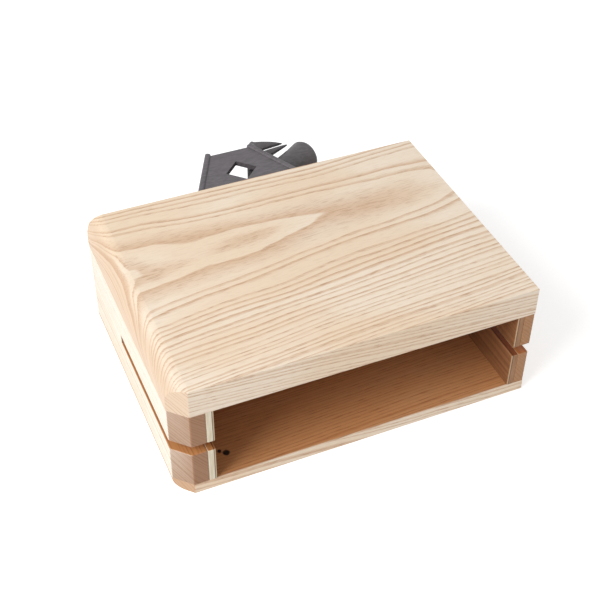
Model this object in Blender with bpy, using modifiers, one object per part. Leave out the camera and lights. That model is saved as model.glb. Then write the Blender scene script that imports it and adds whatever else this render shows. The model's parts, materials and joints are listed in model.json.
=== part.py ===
"""Wood block with a rod clamp, for a percussion stand.

A hollow ash box, open at the front, whose two ends carry a saw kerf so that the
thick top plate can ring.  A moulded bracket on the back wall holds it on an
upright rod: the rod passes through a square hole set cornerwise, and a wing
knob on a screw presses a shoe against it.

Lengths are in metres.  The origin is the centre of the block's underside,
X runs along the width, Y from the open front to the back, and Z is up.
"""

import math

import bmesh
import bpy
from mathutils import Vector

# Wooden box, outside sizes
BLOCK_WIDTH = 0.200
BLOCK_DEPTH = 0.147
BLOCK_HEIGHT = 0.073
TOP_THICKNESS = 0.017
BOTTOM_THICKNESS = 0.0065
BACK_WALL_THICKNESS = 0.017

# The left end is a thick block, the right end a thin one, each with a plywood liner
LEFT_END_WIDTH = 0.017
LEFT_LINER_WIDTH = 0.0042
RIGHT_END_WIDTH = 0.006
RIGHT_LINER_WIDTH = 0.004

# Only the left end is eased: its long edges are rounded over, its front corner cut off
END_ROUND = 0.010
FOOT_ROUND = 0.0055
FRONT_CHAMFER = 0.009
BACK_CHAMFER = 0.002

# Saw kerf through both ends, open at the front
KERF_BOTTOM = 0.0285
KERF_HEIGHT = 0.006
KERF_DEPTH = 0.090

# Clear distance kept between pieces that touch
GAP = 0.0003

# Bracket: a flange on the back wall and a hollow housing that narrows backwards
BRACKET_TOP = 0.066
BRACKET_HEIGHT = 0.042
FLANGE_WIDTH = 0.086
FLANGE_THICKNESS = 0.004
FLANGE_ROUNDING = 0.0008
HOUSING_HALF_BASE = 0.0356
HOUSING_HALF_TIP = 0.0144
HOUSING_REACH = 0.0437
WALL_THICKNESS = 0.0035
WALL_ROUNDING = 0.0012
WEB_REACH = 0.041
WEB_THICKNESS = 0.003
WEB_RECESS = 0.001
ROD_HOLE_SIDE = 0.0135
ROD_HOLE_Y = 0.0204

# Wood screws that hold the flange
SCREW_SPACING_X = 0.074
SCREW_SPACING_Z = 0.030
SCREW_BRIM_SHARE = 0.3
SCREW_LENGTH = 0.016
SCREW_RADIUS = 0.0016
SCREW_HEAD_RADIUS = 0.0034
SCREW_HEAD_HEIGHT = 0.0024

# Clamp, measured outwards along the screw from the middle of the rod hole
SHOE_FACE = 0.0085
SHOE_LENGTH = 0.0045
SHOE_RADIUS = 0.006
SHOE_FLOOR = 0.0014
NUT_BOSS_START = 0.014
NUT_BOSS_SIZE = 0.016
NUT_ACROSS_FLATS = 0.010
NUT_THICKNESS = 0.005
CLAMP_SCREW_RADIUS = 0.003
HEX_HEAD_ACROSS_FLATS = 0.010
HEX_HEAD_HEIGHT = 0.004

# Wing knob: a flared hub, and two wings that each end in two swept fingers
HUB_START = 0.031
HUB_END = 0.060
HUB_START_RADIUS = 0.0078
HUB_END_RADIUS = 0.0104
HUB_ROUNDING = 0.0033
HUB_ROUND_SHARE = 0.33
HUB_COLLAR_LENGTH = 0.006
HUB_COLLAR_FLARE = 0.0004
HUB_COLLAR_EASE = 0.001
HEAD_POCKET_DEPTH = 0.0062
HEAD_OVERLAP = 0.001
WING_SPAN = 0.0265
WING_START = 0.0318
WING_REACH = 0.054
WING_ROOT_END = 0.0345
WING_THICKNESS = 0.0042
WING_ROUNDING = 0.001
WING_TILT = math.radians(28)
RIM_BULGE = 0.55
OUTER_FINGER_TIP = 0.0146
INNER_FINGER_TIP = 0.0120
OUTER_SLOT_SPREAD = 0.0042
INNER_SLOT_SPREAD = 0.0002
SLOT_WIDTH = 0.0012

ROUND_STEPS = 40
CORNER_STEPS = 7
BEVEL_ANGLE = math.radians(40)

SIDE_ANGLE = math.atan2(HOUSING_HALF_BASE - HOUSING_HALF_TIP, HOUSING_REACH)
CLAMP_AXIS = Vector((math.cos(SIDE_ANGLE), math.sin(SIDE_ANGLE), 0))
BACK = BLOCK_DEPTH / 2
BRACKET_MIDDLE = BRACKET_TOP - BRACKET_HEIGHT / 2
CLAMP_CENTRE = Vector((0, BACK + ROD_HOLE_Y, BRACKET_MIDDLE))
WALL_OUTSIDE = (Vector((HOUSING_HALF_TIP, BACK + HOUSING_REACH, BRACKET_MIDDLE))
                - CLAMP_CENTRE).dot(CLAMP_AXIS)

ASH = (0.80, 0.66, 0.47)
ASH_END_GRAIN = (0.46, 0.28, 0.15)
PALE_PLY = (0.72, 0.58, 0.40)
BLACK_PLASTIC = (0.055, 0.052, 0.055)
SHOE_PLASTIC = (0.02, 0.02, 0.02)
STEEL = (0.55, 0.55, 0.56)


def clear_scene():
    """Remove every object, so that the model starts from nothing."""
    for thing in list(bpy.data.objects):
        bpy.data.objects.remove(thing, do_unlink=True)


def new_collection(name):
    """Make a collection and hang it in the scene."""
    collection = bpy.data.collections.new(name)
    bpy.context.scene.collection.children.link(collection)
    return collection


def finish_material(name, colour, roughness, metallic=0.0):
    """Make a Principled material with one colour."""
    material = bpy.data.materials.new(name)
    material.use_nodes = True
    shader = material.node_tree.nodes["Principled BSDF"]
    shader.inputs["Base Color"].default_value = (*colour, 1)
    shader.inputs["Roughness"].default_value = roughness
    shader.inputs["Metallic"].default_value = metallic
    material.diffuse_color = (*colour, 1)
    return material


def add_object(name, mesh, collection):
    """Wrap a mesh in an object and put it in a collection."""
    thing = bpy.data.objects.new(name, mesh)
    collection.objects.link(thing)
    return thing


def box_mesh(name, low, high):
    """Make a box between two corners."""
    shape = bmesh.new()
    bmesh.ops.create_cube(shape, size=1)
    low, high = Vector(low), Vector(high)
    bmesh.ops.scale(shape, vec=high - low, verts=shape.verts)
    bmesh.ops.translate(shape, vec=(high + low) / 2, verts=shape.verts)
    mesh = bpy.data.meshes.new(name)
    shape.to_mesh(mesh)
    shape.free()
    return mesh


def cylinder_mesh(name, radius, start, end, sides=ROUND_STEPS):
    """Make a cylinder or prism along Z between two heights."""
    shape = bmesh.new()
    bmesh.ops.create_cone(shape, cap_ends=True, segments=sides,
                          radius1=radius, radius2=radius, depth=end - start)
    bmesh.ops.translate(shape, vec=(0, 0, (start + end) / 2), verts=shape.verts)
    mesh = bpy.data.meshes.new(name)
    shape.to_mesh(mesh)
    shape.free()
    return mesh


def outline_mesh(name, outline, low, high):
    """Fill a flat outline and give it height, from a 2D curve made into a mesh."""
    curve = bpy.data.curves.new(name, "CURVE")
    curve.dimensions = "2D"
    curve.fill_mode = "BOTH"
    curve.extrude = (high - low) / 2
    spline = curve.splines.new("POLY")
    spline.points.add(len(outline) - 1)
    for point, place in zip(spline.points, outline):
        point.co = (place[0], place[1], 0, 1)
    spline.use_cyclic_u = True
    drawn = add_object(name + "_curve", curve, guides)
    bpy.context.view_layer.update()
    evaluated = drawn.evaluated_get(bpy.context.evaluated_depsgraph_get())
    mesh = bpy.data.meshes.new_from_object(evaluated)
    mesh.name = name
    bpy.data.objects.remove(drawn, do_unlink=True)
    shape = bmesh.new()
    shape.from_mesh(mesh)
    bmesh.ops.remove_doubles(shape, verts=shape.verts, dist=1e-6)
    bmesh.ops.translate(shape, vec=(0, 0, (low + high) / 2), verts=shape.verts)
    bmesh.ops.recalc_face_normals(shape, faces=shape.faces)
    shape.to_mesh(mesh)
    shape.free()
    return mesh


def turned_mesh(name, profile, closed=False):
    """Make the thin mesh of a profile of (radius, height) points for a Screw."""
    edges = [(i, i + 1) for i in range(len(profile) - 1)]
    if closed:
        edges.append((len(profile) - 1, 0))
    mesh = bpy.data.meshes.new(name)
    mesh.from_pydata([(radius, 0, height) for radius, height in profile], edges, [])
    return mesh


def add_screw(thing, steps=ROUND_STEPS):
    """Turn an object's profile once round its Z axis."""
    screw = thing.modifiers.new("turn", "SCREW")
    screw.axis = "Z"
    screw.angle = math.tau
    screw.steps = steps
    screw.render_steps = steps
    screw.use_merge_vertices = True
    screw.merge_threshold = 0.00001
    screw.use_smooth_shade = True
    return screw


def add_bevel(thing, width, segments=2):
    """Round the sharp edges of an object."""
    bevel = thing.modifiers.new("rounding", "BEVEL")
    bevel.width = width
    bevel.segments = segments
    bevel.limit_method = "ANGLE"
    bevel.angle_limit = BEVEL_ANGLE
    bevel.use_clamp_overlap = True
    return bevel


def add_boolean(thing, other, operation):
    """Cut or join an object with another, by the exact solver."""
    step = thing.modifiers.new(operation.lower() + "_" + other.name, "BOOLEAN")
    step.operation = operation
    step.solver = "EXACT"
    step.object = other
    return step


def as_guide(thing):
    """Show a cutter or a joined shape as a wire only."""
    thing.hide_render = True
    thing.display_type = "WIRE"
    return thing


def guide(name, mesh, frame=None):
    """Make a hidden shape that cuts or joins another."""
    thing = as_guide(add_object(name, mesh, guides))
    if frame is not None:
        thing.parent = frame
    return thing


def smooth(thing, angle=35):
    """Shade round faces smooth and keep true corners sharp."""
    thing.data.shade_smooth()
    thing.data.set_sharp_from_angle(angle=math.radians(angle))


def part(name, mesh, material, frame=None):
    """Make one named piece of the product."""
    thing = add_object(name, mesh, product)
    if not mesh.materials:
        mesh.materials.append(material)
    if frame is not None:
        thing.parent = frame
    return thing


def left_end_plan(left, right):
    """Outline seen from above: the left end's corners are cut off, the front one more."""
    return [(left + FRONT_CHAMFER, -BACK), (right, -BACK), (right, BACK),
            (left + BACK_CHAMFER, BACK), (left, BACK - BACK_CHAMFER),
            (left, FRONT_CHAMFER - BACK)]


def rounding_cutter(name, edge_z, radius):
    """What a round-over takes off a long left edge: a corner less a quarter circle."""
    left = -BLOCK_WIDTH / 2
    inwards = -1 if edge_z > 0 else 1
    outside = edge_z - inwards * radius
    outline = [(left - radius, edge_z + inwards * radius), (left - radius, outside),
               (left + radius, outside)]
    for i in range(CORNER_STEPS + 1):
        angle = math.pi / 2 * (1 + i / CORNER_STEPS)
        outline.append((left + radius + radius * math.cos(angle),
                        edge_z + inwards * radius * (1 - math.sin(angle))))
    cutter = guide(name, outline_mesh(name, outline, -BLOCK_DEPTH, BLOCK_DEPTH))
    cutter.rotation_euler = (math.radians(90), 0, 0)
    return cutter


def make_plates():
    """Top and bottom plates, which lie over the ends and the back wall."""
    plan = left_end_plan(-BLOCK_WIDTH / 2, BLOCK_WIDTH / 2)
    top_low = BLOCK_HEIGHT - TOP_THICKNESS
    top = part("top_plate", outline_mesh("top_plate", plan, top_low, BLOCK_HEIGHT), ash)
    add_boolean(top, rounding_cutter("top_rounding", BLOCK_HEIGHT, END_ROUND), "DIFFERENCE")
    bottom = part("bottom_plate", outline_mesh("bottom_plate", plan, 0, BOTTOM_THICKNESS), ash)
    add_boolean(bottom, rounding_cutter("foot_rounding", 0, FOOT_ROUND), "DIFFERENCE")


def make_ends():
    """End blocks and their liners, cut by one kerf from the front."""
    low = BOTTOM_THICKNESS + GAP
    high = BLOCK_HEIGHT - TOP_THICKNESS - GAP
    left, right = -BLOCK_WIDTH / 2, BLOCK_WIDTH / 2
    liner_back = BACK - BACK_WALL_THICKNESS - GAP
    kerf = guide("kerf_cutter", box_mesh(
        "kerf_cutter", (2 * left, -2 * BACK, KERF_BOTTOM),
        (2 * right, -BACK + KERF_DEPTH, KERF_BOTTOM + KERF_HEIGHT)))

    left_plan = left_end_plan(left, left + LEFT_END_WIDTH)
    ends = {
        "left_end_block": (outline_mesh("left_end_block", left_plan, low, high), end_grain),
        "right_end_block": (box_mesh("right_end_block", (right - RIGHT_END_WIDTH, -BACK, low),
                                     (right, BACK, high)), end_grain),
        "left_liner": (box_mesh("left_liner", (left + LEFT_END_WIDTH + GAP, -BACK, low),
                                (left + LEFT_END_WIDTH + LEFT_LINER_WIDTH, liner_back, high)),
                       ply),
        "right_liner": (box_mesh("right_liner",
                                 (right - RIGHT_END_WIDTH - RIGHT_LINER_WIDTH, -BACK, low),
                                 (right - RIGHT_END_WIDTH - GAP, liner_back, high)), ply),
    }
    for name, (mesh, material) in ends.items():
        add_boolean(part(name, mesh, material), kerf, "DIFFERENCE")


def screw_places():
    """Centres of the four wood screws on the flange, as (x, z)."""
    return [(side * SCREW_SPACING_X / 2, BRACKET_MIDDLE + rise * SCREW_SPACING_Z / 2)
            for side in (-1, 1) for rise in (-1, 1)]


def screw_hole_cutters(name, radius, start, end):
    """One cutter along Y at each wood screw."""
    cutters = []
    for number, (x, z) in enumerate(screw_places(), 1):
        hole = guide(f"{name}_{number}", cylinder_mesh(name, radius, start, end, 20))
        hole.location = (x, 0, z)
        hole.rotation_euler = (math.radians(-90), 0, 0)
        cutters.append(hole)
    return cutters


def make_back_wall():
    """Solid back wall between the two end blocks."""
    left, right = -BLOCK_WIDTH / 2, BLOCK_WIDTH / 2
    part("back_wall", box_mesh(
        "back_wall",
        (left + LEFT_END_WIDTH + GAP, BACK - BACK_WALL_THICKNESS, BOTTOM_THICKNESS + GAP),
        (right - RIGHT_END_WIDTH - GAP, BACK, BLOCK_HEIGHT - TOP_THICKNESS - GAP)), ash)


def drill_pilot_holes():
    """Two screws go into the top plate's back edge and two into the back wall."""
    depth = SCREW_LENGTH - FLANGE_THICKNESS + 2 * GAP
    cutters = screw_hole_cutters("pilot_hole", SCREW_RADIUS + GAP, BACK - depth, BACK + depth)
    for hole in cutters:
        into_top = hole.location.z > BRACKET_MIDDLE
        wood = bpy.data.objects["top_plate" if into_top else "back_wall"]
        add_boolean(wood, hole, "DIFFERENCE")


def side_wall_guide(side):
    """Slanted wall of the housing, from the flange to the open back, with rounded edges."""
    length = math.hypot(HOUSING_HALF_BASE - HOUSING_HALF_TIP, HOUSING_REACH)
    start = (WALL_THICKNESS * math.sin(SIDE_ANGLE) + GAP) / math.cos(SIDE_ANGLE)
    mesh = box_mesh("side_wall", (0, start, -BRACKET_HEIGHT / 2),
                    (WALL_THICKNESS, length, BRACKET_HEIGHT / 2))
    if side > 0:
        mesh = box_mesh("side_wall", (-WALL_THICKNESS, start, -BRACKET_HEIGHT / 2),
                        (0, length, BRACKET_HEIGHT / 2))
    wall = guide("left_wall" if side < 0 else "right_wall", mesh)
    wall.location = (side * HOUSING_HALF_BASE, BACK + GAP, BRACKET_MIDDLE)
    wall.rotation_euler = (0, 0, side * SIDE_ANGLE)
    add_bevel(wall, WALL_ROUNDING, 3)
    return wall


def web_guide(name, low):
    """Flat web across the housing, above or below the hollow."""
    inset = WALL_THICKNESS / 2 / math.cos(SIDE_ANGLE)
    reach = WEB_REACH / HOUSING_REACH
    half_tip = HOUSING_HALF_BASE + (HOUSING_HALF_TIP - HOUSING_HALF_BASE) * reach - inset
    half_base = HOUSING_HALF_BASE - inset
    front, back = BACK + 2 * GAP, BACK + WEB_REACH
    plan = [(-half_base, front), (half_base, front), (half_tip, back), (-half_tip, back)]
    return guide(name, outline_mesh(name, plan, low, low + WEB_THICKNESS))


def make_bracket(clamp_frame):
    """Moulded bracket: flange, two slanted walls, two webs and the boss for the nut."""
    bottom = BRACKET_TOP - BRACKET_HEIGHT
    flange = part("bracket_body", box_mesh(
        "bracket_body", (-FLANGE_WIDTH / 2, BACK + GAP, bottom + WEB_RECESS),
        (FLANGE_WIDTH / 2, BACK + GAP + FLANGE_THICKNESS, BRACKET_TOP - WEB_RECESS)), plastic)
    add_bevel(flange, FLANGE_ROUNDING)
    top_web = web_guide("top_web", BRACKET_TOP - WEB_RECESS - WEB_THICKNESS)
    bottom_web = web_guide("bottom_web", bottom + WEB_RECESS)
    boss = guide("nut_boss", box_mesh(
        "nut_boss", (-NUT_BOSS_SIZE / 2, -NUT_BOSS_SIZE / 2, NUT_BOSS_START),
        (NUT_BOSS_SIZE / 2, NUT_BOSS_SIZE / 2, WALL_OUTSIDE - WALL_THICKNESS / 2)), clamp_frame)
    for shape in (side_wall_guide(-1), side_wall_guide(1), top_web, bottom_web, boss):
        add_boolean(flange, shape, "UNION")

    half = ROD_HOLE_SIDE / 2
    rod_hole = guide("rod_hole", box_mesh("rod_hole", (-half, -half, -BRACKET_HEIGHT),
                                          (half, half, BRACKET_HEIGHT)))
    rod_hole.location = CLAMP_CENTRE
    rod_hole.rotation_euler = (0, 0, math.radians(45))
    screw_hole = guide("clamp_screw_hole", cylinder_mesh(
        "clamp_screw_hole", CLAMP_SCREW_RADIUS + GAP, SHOE_FACE, 2 * WALL_OUTSIDE), clamp_frame)
    pocket_flats = NUT_ACROSS_FLATS + 2 * GAP
    nut_pocket = guide("nut_pocket", cylinder_mesh(
        "nut_pocket", pocket_flats / math.sqrt(3), SHOE_FACE,
        NUT_BOSS_START + NUT_THICKNESS + GAP, 6), clamp_frame)
    for hole in (rod_hole, screw_hole, nut_pocket):
        add_boolean(flange, hole, "DIFFERENCE")
    for hole in screw_hole_cutters("flange_hole", SCREW_RADIUS + GAP, 0, 2 * BACK):
        add_boolean(flange, hole, "DIFFERENCE")


def make_bracket_screws():
    """Four pan head wood screws that share one turned shape."""
    under_head = BACK + GAP + FLANGE_THICKNESS + GAP
    neck = SCREW_RADIUS
    point = SCREW_RADIUS * 2
    head = SCREW_HEAD_RADIUS
    rise = SCREW_HEAD_HEIGHT
    profile = [(0, rise), (head * 0.55, rise * 0.92), (head * 0.88, rise * 0.62),
               (head, rise * SCREW_BRIM_SHARE), (head, 0), (neck, 0), (neck, point - SCREW_LENGTH),
               (0, -SCREW_LENGTH)]
    mesh = turned_mesh("bracket_screw", profile)
    for number, (x, z) in enumerate(screw_places(), 1):
        screw = part(f"bracket_screw_{number}", mesh, steel)
        add_screw(screw, 20)
        screw.location = (x, under_head, z)
        screw.rotation_euler = (math.radians(-90), 0, 0)


def make_captive_nut(clamp_frame):
    """Hexagon nut in the pocket of the boss."""
    start = NUT_BOSS_START
    nut = part("captive_nut", cylinder_mesh(
        "captive_nut", NUT_ACROSS_FLATS / math.sqrt(3), start, start + NUT_THICKNESS, 6),
        steel, clamp_frame)
    thread = guide("nut_thread", cylinder_mesh(
        "nut_thread", CLAMP_SCREW_RADIUS + GAP, 0, HUB_START), clamp_frame)
    add_boolean(nut, thread, "DIFFERENCE")


def make_pressure_shoe(shoe_frame):
    """Cup on the tip of the screw, whose flat face bears on the rod."""
    bore = CLAMP_SCREW_RADIUS + GAP
    back = SHOE_FACE + SHOE_LENGTH
    ease = 0.0006
    profile = [(bore, back), (SHOE_RADIUS - ease, back), (SHOE_RADIUS, back - ease),
               (SHOE_RADIUS, SHOE_FACE + ease), (SHOE_RADIUS - ease, SHOE_FACE),
               (0, SHOE_FACE), (0, SHOE_FACE + SHOE_FLOOR), (bore, SHOE_FACE + SHOE_FLOOR)]
    shoe = part("pressure_shoe", turned_mesh("pressure_shoe", profile, closed=True),
                shoe_plastic, shoe_frame)
    add_screw(shoe)


def make_clamp_screw(spin_frame):
    """Hexagon head screw, held in the knob and ending in the shoe."""
    tip = SHOE_FACE + SHOE_FLOOR + GAP
    head_start = HUB_END - HEAD_POCKET_DEPTH + GAP
    ease = 0.0005
    profile = [(0, head_start + HEAD_OVERLAP), (CLAMP_SCREW_RADIUS, head_start + HEAD_OVERLAP),
               (CLAMP_SCREW_RADIUS, tip + ease), (CLAMP_SCREW_RADIUS - ease, tip), (0, tip)]
    screw = part("clamp_screw", turned_mesh("clamp_screw", profile), steel, spin_frame)
    add_screw(screw, 32)
    head = guide("hex_head", cylinder_mesh(
        "hex_head", HEX_HEAD_ACROSS_FLATS / math.sqrt(3), head_start,
        head_start + HEX_HEAD_HEIGHT, 6), spin_frame)
    add_boolean(screw, head, "UNION")


def wing_rim(across):
    """How far out the wing reaches: a bulging slope from its tip up to the hub."""
    share = (WING_SPAN - across) / (WING_SPAN - HUB_END_RADIUS)
    slope = share + RIM_BULGE * share * (1 - share)
    return WING_START + (WING_REACH - WING_START) * slope


def wing_outline():
    """Half plan of a wing as (across, outward) points, with a slot beside each finger."""
    root = WING_ROOT_END
    ease = WING_ROUNDING / 2
    outer_slot = OUTER_FINGER_TIP + OUTER_SLOT_SPREAD
    inner_slot = INNER_FINGER_TIP - INNER_SLOT_SPREAD
    half = [(0.0, WING_START), (WING_SPAN - 4 * ease, WING_START - ease),
            (WING_SPAN - ease, WING_START + ease)]
    for i in range(CORNER_STEPS):
        across = WING_SPAN - (WING_SPAN - OUTER_FINGER_TIP) * (i + 0.5) / (CORNER_STEPS - 0.5)
        half.append((across, wing_rim(across)))
    half += [(OUTER_FINGER_TIP + ease, wing_rim(OUTER_FINGER_TIP) - WING_ROUNDING),
             (outer_slot, root), (outer_slot - SLOT_WIDTH, root),
             (INNER_FINGER_TIP + 2 * ease, wing_rim(INNER_FINGER_TIP) - WING_ROUNDING),
             (INNER_FINGER_TIP, wing_rim(INNER_FINGER_TIP)),
             (inner_slot, root + SLOT_WIDTH), (inner_slot - SLOT_WIDTH, root), (0.0, root)]
    return half


def make_wing_knob(spin_frame):
    """Moulded knob: the flared hub joined with the two slotted wings."""
    bore = CLAMP_SCREW_RADIUS + GAP
    ease = HUB_ROUNDING
    profile = [(0, HUB_END), (HUB_END_RADIUS - ease, HUB_END),
               (HUB_END_RADIUS - ease * HUB_ROUND_SHARE, HUB_END - ease * HUB_ROUND_SHARE),
               (HUB_END_RADIUS, HUB_END - ease),
               (HUB_START_RADIUS + HUB_COLLAR_FLARE, HUB_START + HUB_COLLAR_LENGTH),
               (HUB_START_RADIUS, HUB_START + HUB_COLLAR_EASE),
               (HUB_START_RADIUS - HUB_COLLAR_EASE, HUB_START),
               (0, HUB_START)]
    knob = part("wing_knob", turned_mesh("wing_knob", profile), plastic, spin_frame)
    add_screw(knob)
    half = WING_THICKNESS / 2
    for side in (-1, 1):
        plan = [(side * across, outward) for across, outward in wing_outline()]
        wing = guide("back_wing" if side > 0 else "front_wing",
                     outline_mesh("wing", plan, -half, half), spin_frame)
        wing.rotation_euler = (math.radians(90), 0, WING_TILT)
        add_bevel(wing, WING_ROUNDING)
        add_boolean(knob, wing, "UNION")
    shank = guide("shank_hole", cylinder_mesh("shank_hole", bore, 0, HUB_END, 32), spin_frame)
    pocket = guide("head_pocket", cylinder_mesh(
        "head_pocket", (HEX_HEAD_ACROSS_FLATS + 2 * GAP) / math.sqrt(3),
        HUB_END - HEAD_POCKET_DEPTH, 2 * HUB_END, 6), spin_frame)
    for hole in (shank, pocket):
        add_boolean(knob, hole, "DIFFERENCE")


def make_frames():
    """Empties on the clamp's axis: local Z points outwards along the screw."""
    frames = []
    for name in ("clamp_frame", "shoe_frame", "spin_frame"):
        frame = bpy.data.objects.new(name, None)
        guides.objects.link(frame)
        frame.location = CLAMP_CENTRE
        frame.rotation_euler = (math.radians(90), 0, math.radians(90) + SIDE_ANGLE)
        frames.append(frame)
    return frames


clear_scene()
product = new_collection("wood_block")
guides = new_collection("cutters")

ash = finish_material("ash", ASH, 0.55)
end_grain = finish_material("ash_end_grain", ASH_END_GRAIN, 0.65)
ply = finish_material("pale_plywood", PALE_PLY, 0.6)
plastic = finish_material("black_plastic", BLACK_PLASTIC, 0.5)
shoe_plastic = finish_material("shoe_plastic", SHOE_PLASTIC, 0.6)
steel = finish_material("zinc_plated_steel", STEEL, 0.35, 1.0)

clamp_frame, shoe_frame, spin_frame = make_frames()
make_plates()
make_ends()
make_back_wall()
drill_pilot_holes()
make_bracket(clamp_frame)
make_bracket_screws()
make_captive_nut(clamp_frame)
make_pressure_shoe(shoe_frame)
make_clamp_screw(spin_frame)
make_wing_knob(spin_frame)

for thing in product.objects:
    if thing.type == "MESH" and thing.name not in ("top_plate", "bottom_plate"):
        smooth(thing)
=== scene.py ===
# %% [markdown]
# # A wood block on a rod clamp
# This lesson dresses the bare solids of a wood block: a hollow ash box that a
# player strikes on its thick top, hung from a percussion stand by a moulded
# bracket.  We load the solids first, because every finish and every finer piece
# is placed by them and none of them may move.

# %% Load the solids
import json
import math

import bmesh
import bpy
import numpy as np
from mathutils import Matrix, Vector


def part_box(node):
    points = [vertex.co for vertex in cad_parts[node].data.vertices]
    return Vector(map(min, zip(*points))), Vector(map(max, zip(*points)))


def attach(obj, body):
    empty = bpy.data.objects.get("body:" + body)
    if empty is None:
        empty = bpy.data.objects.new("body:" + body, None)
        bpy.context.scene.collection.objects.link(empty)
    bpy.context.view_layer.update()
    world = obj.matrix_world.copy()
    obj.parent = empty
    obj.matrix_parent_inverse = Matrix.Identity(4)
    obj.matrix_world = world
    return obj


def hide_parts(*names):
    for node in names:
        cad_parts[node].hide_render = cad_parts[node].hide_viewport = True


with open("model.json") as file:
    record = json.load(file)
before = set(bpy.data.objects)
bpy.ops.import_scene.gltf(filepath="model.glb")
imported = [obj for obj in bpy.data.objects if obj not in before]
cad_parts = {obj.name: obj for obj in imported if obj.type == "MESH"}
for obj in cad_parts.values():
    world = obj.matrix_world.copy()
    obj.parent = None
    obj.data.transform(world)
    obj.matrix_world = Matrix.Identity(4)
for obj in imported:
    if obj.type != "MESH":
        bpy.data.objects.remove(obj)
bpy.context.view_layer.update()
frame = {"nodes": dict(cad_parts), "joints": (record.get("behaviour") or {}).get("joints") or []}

nodes = frame["nodes"]
scene = bpy.context.scene
scene.view_settings.view_transform = "Standard"

# %% [markdown]
# ## The camera
# A photograph's view can be worked out from the block's own straight edges: where
# they meet gives the lens, and their directions give the turn, the tilt and the
# small roll.  We write the result as three angles and a place, because these say
# what a photographer would say, and build the camera's axes from them.

# %% Make the camera
CAMERA_PLACE = (-0.19375, -0.43894, 0.46779)
CAMERA_TURN = math.radians(23.5596)
CAMERA_TILT = math.radians(41.7661)
CAMERA_ROLL = math.radians(0.6197)
LENS_MM = 70.105
SENSOR_MM = 36

forward = Vector((math.sin(CAMERA_TURN) * math.cos(CAMERA_TILT),
                  math.cos(CAMERA_TURN) * math.cos(CAMERA_TILT),
                  -math.sin(CAMERA_TILT)))
level = Vector((math.cos(CAMERA_TURN), -math.sin(CAMERA_TURN), 0))
upright = level.cross(forward)
sideways = math.cos(CAMERA_ROLL) * level + math.sin(CAMERA_ROLL) * upright
upwards = math.cos(CAMERA_ROLL) * upright - math.sin(CAMERA_ROLL) * level
lens = bpy.data.cameras.new("camera")
lens.lens = LENS_MM
lens.sensor_width = SENSOR_MM
camera = bpy.data.objects.new("camera", lens)
camera.matrix_world = (Matrix.Translation(CAMERA_PLACE)
                       @ Matrix((sideways, upwards, -forward)).transposed().to_4x4())
scene.collection.objects.link(camera)
scene.camera = camera
print("the camera looks along", tuple(round(v, 3) for v in forward))

# %% [markdown]
# ## Small tools for materials
# A material in Blender is a graph of nodes.  Clicking one together is quick, but a
# script that names each step can be read and changed, so we start with helpers
# that add one node each and return its output.

# %% Helpers that add one node
def new_material(name, **values):
    """A Principled material whose even values stand on the shader's own sockets."""
    material = bpy.data.materials.new(name)
    material.use_nodes = True
    shader = material.node_tree.nodes["Principled BSDF"]
    for socket, value in values.items():
        shader.inputs[socket.replace("_", " ")].default_value = value
    return material, material.node_tree, shader


def feed(tree, socket, value):
    """Wire an output into a socket, or write a plain value there."""
    if isinstance(value, bpy.types.NodeSocket):
        tree.links.new(value, socket)
    else:
        socket.default_value = value


def maths(tree, operation, *values, clamp=False):
    """One Math node."""
    node = tree.nodes.new("ShaderNodeMath")
    node.operation = operation
    node.use_clamp = clamp
    for socket, value in zip(node.inputs, values):
        feed(tree, socket, value)
    return node.outputs[0]


def vector_maths(tree, operation, *values):
    """One Vector Math node that returns a vector."""
    node = tree.nodes.new("ShaderNodeVectorMath")
    node.operation = operation
    for socket, value in zip(node.inputs, values):
        feed(tree, socket, value)
    return node.outputs[0]


def ease(tree, value, low, high, start=0.0, end=1.0):
    """A smooth step from start to end while the value goes from low to high."""
    node = tree.nodes.new("ShaderNodeMapRange")
    node.interpolation_type = "SMOOTHSTEP"
    for label, number in (("Value", value), ("From Min", low), ("From Max", high),
                          ("To Min", start), ("To Max", end)):
        feed(tree, node.inputs[label], number)
    return node.outputs["Result"]


def blend_colour(tree, share, first, second, kind="MIX"):
    """One colour Mix node."""
    node = tree.nodes.new("ShaderNodeMix")
    node.data_type = "RGBA"
    node.blend_type = kind
    feed(tree, node.inputs[0], share)
    feed(tree, node.inputs[6], first)
    feed(tree, node.inputs[7], second)
    return node.outputs[2]


def noise(tree, place, scale, detail=2.0, roughness=0.5):
    """One Noise texture, as a value about a half."""
    node = tree.nodes.new("ShaderNodeTexNoise")
    feed(tree, node.inputs["Vector"], place)
    feed(tree, node.inputs["Scale"], scale)
    node.inputs["Detail"].default_value = detail
    node.inputs["Roughness"].default_value = roughness
    return node.outputs[0]


def split(tree, vector):
    """The three parts of a vector."""
    node = tree.nodes.new("ShaderNodeSeparateXYZ")
    feed(tree, node.inputs[0], vector)
    return node.outputs


def joined(tree, x, y, z):
    """A vector from three values."""
    node = tree.nodes.new("ShaderNodeCombineXYZ")
    for socket, value in zip(node.inputs, (x, y, z)):
        feed(tree, socket, value)
    return node.outputs[0]


def new_group(name, inputs, outputs):
    """A shader node group: returns it with its inputs and outputs, seen from inside."""
    group = bpy.data.node_groups.new(name, "ShaderNodeTree")
    for label, kind, default in inputs:
        socket = group.interface.new_socket(name=label, in_out="INPUT",
                                            socket_type="NodeSocket" + kind)
        if default is not None:
            socket.default_value = default
    for label, kind in outputs:
        group.interface.new_socket(name=label, in_out="OUTPUT",
                                   socket_type="NodeSocket" + kind)
    return group, group.nodes.new("NodeGroupInput").outputs, \
        group.nodes.new("NodeGroupOutput").inputs


def place_group(tree, group, **values):
    """A group set in a material, with its own values."""
    node = tree.nodes.new("ShaderNodeGroup")
    node.node_tree = group
    for label, value in values.items():
        feed(tree, node.inputs[label.replace("_", " ")], value)
    return node.outputs


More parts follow.
